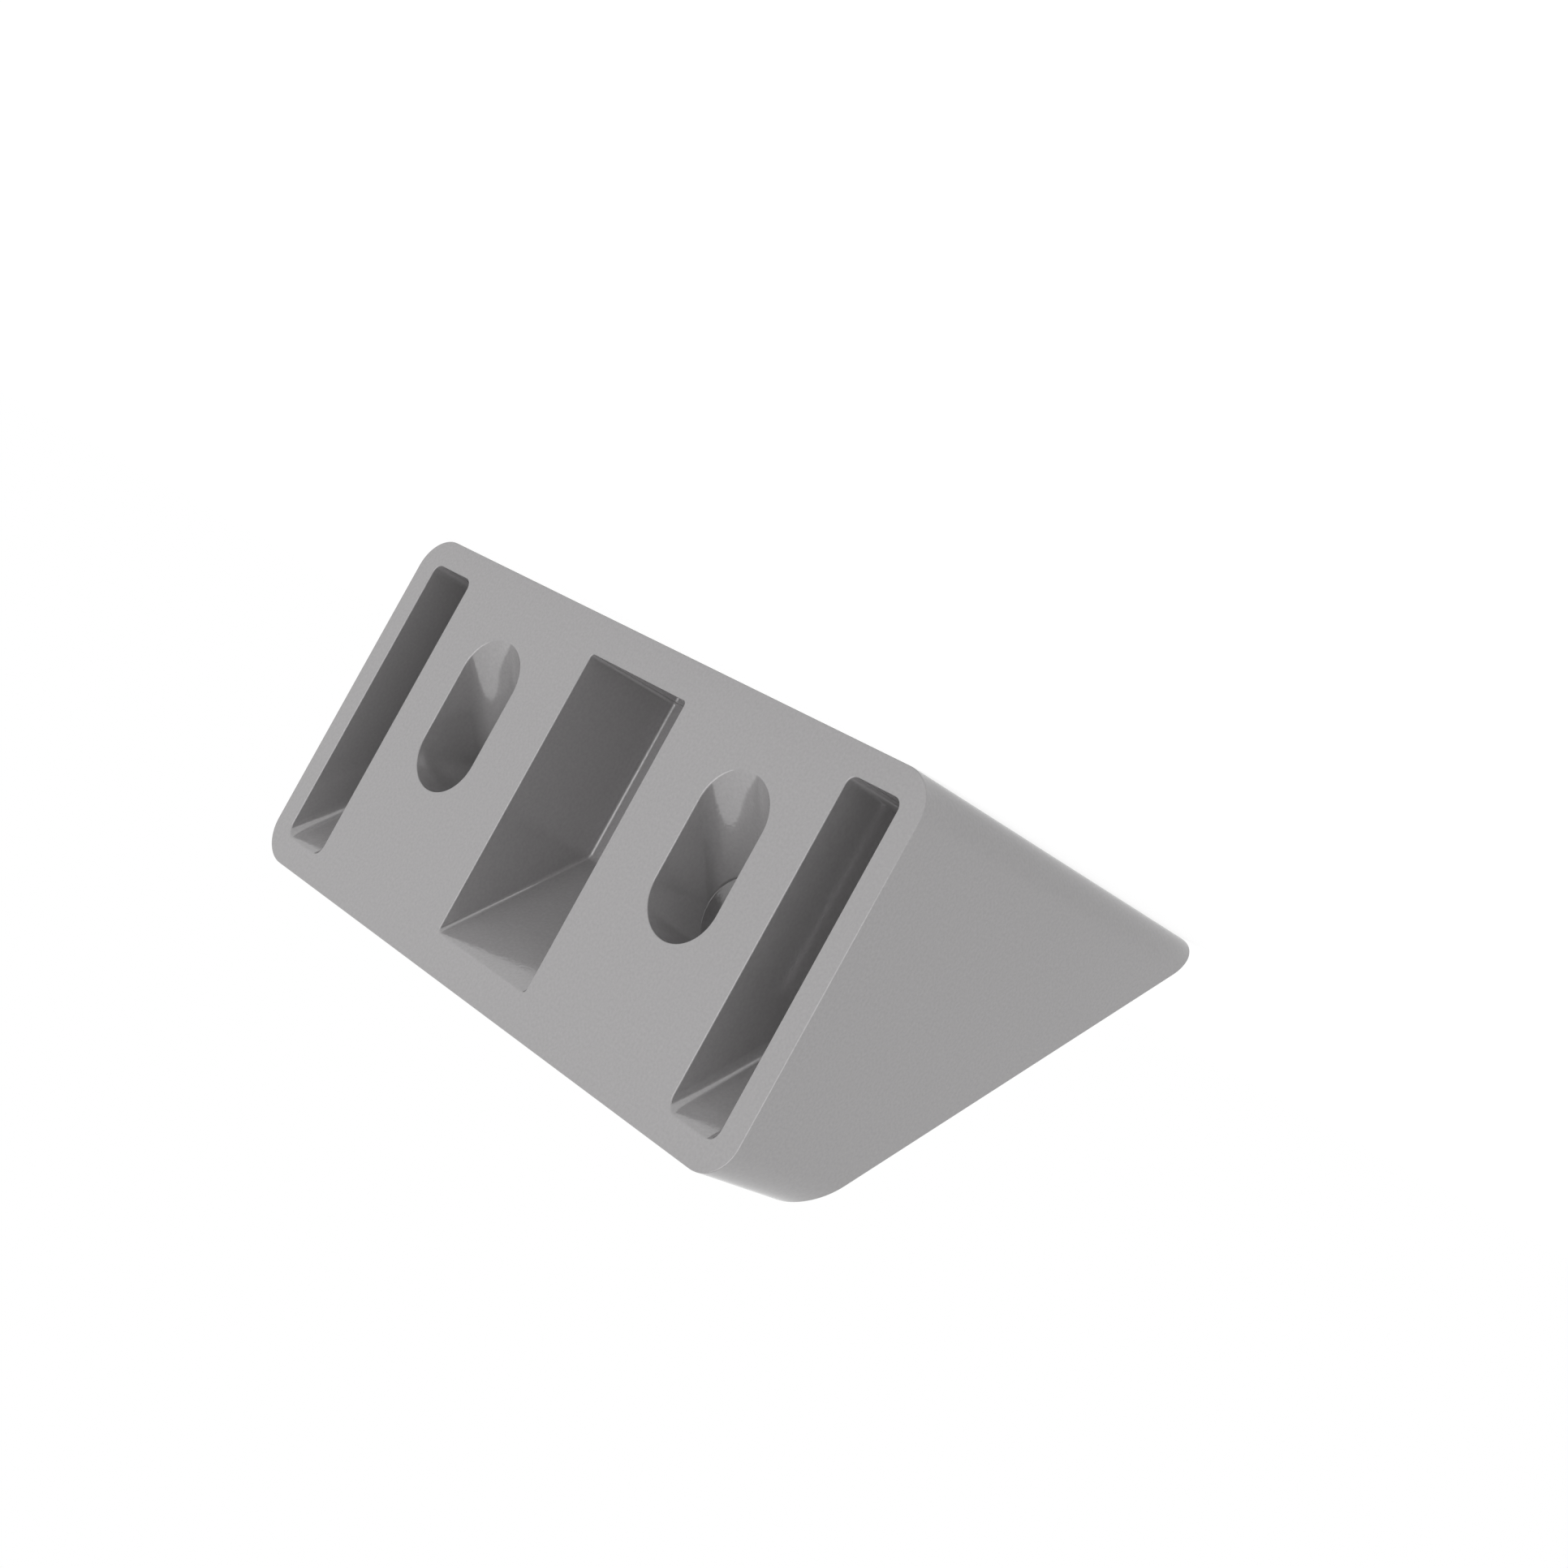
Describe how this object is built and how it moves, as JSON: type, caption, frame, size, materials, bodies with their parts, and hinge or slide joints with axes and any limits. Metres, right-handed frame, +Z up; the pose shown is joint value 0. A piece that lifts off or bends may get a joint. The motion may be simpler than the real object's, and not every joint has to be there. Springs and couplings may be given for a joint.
{
  "type": "angle connector",
  "caption": "Cast angle connector: a rounded block cut off at a mitre, with pockets and slotted screw holes in its end face, for joining framing profiles at 45 degrees.",
  "frame": {"origin": "centre of the end face that meets the profile's end, on the profile's axis", "axes": "+X across the width, +Y from the end face towards the mitre, +Z up from the long side that the part lies on"},
  "size_m": [0.08, 0.052, 0.04],
  "materials": {
    "cast_body": "matte grey coat with a fine grain"
  },
  "bodies": {
    "root": {"connector_body": "cast_body"}
  },
  "joints": []
}
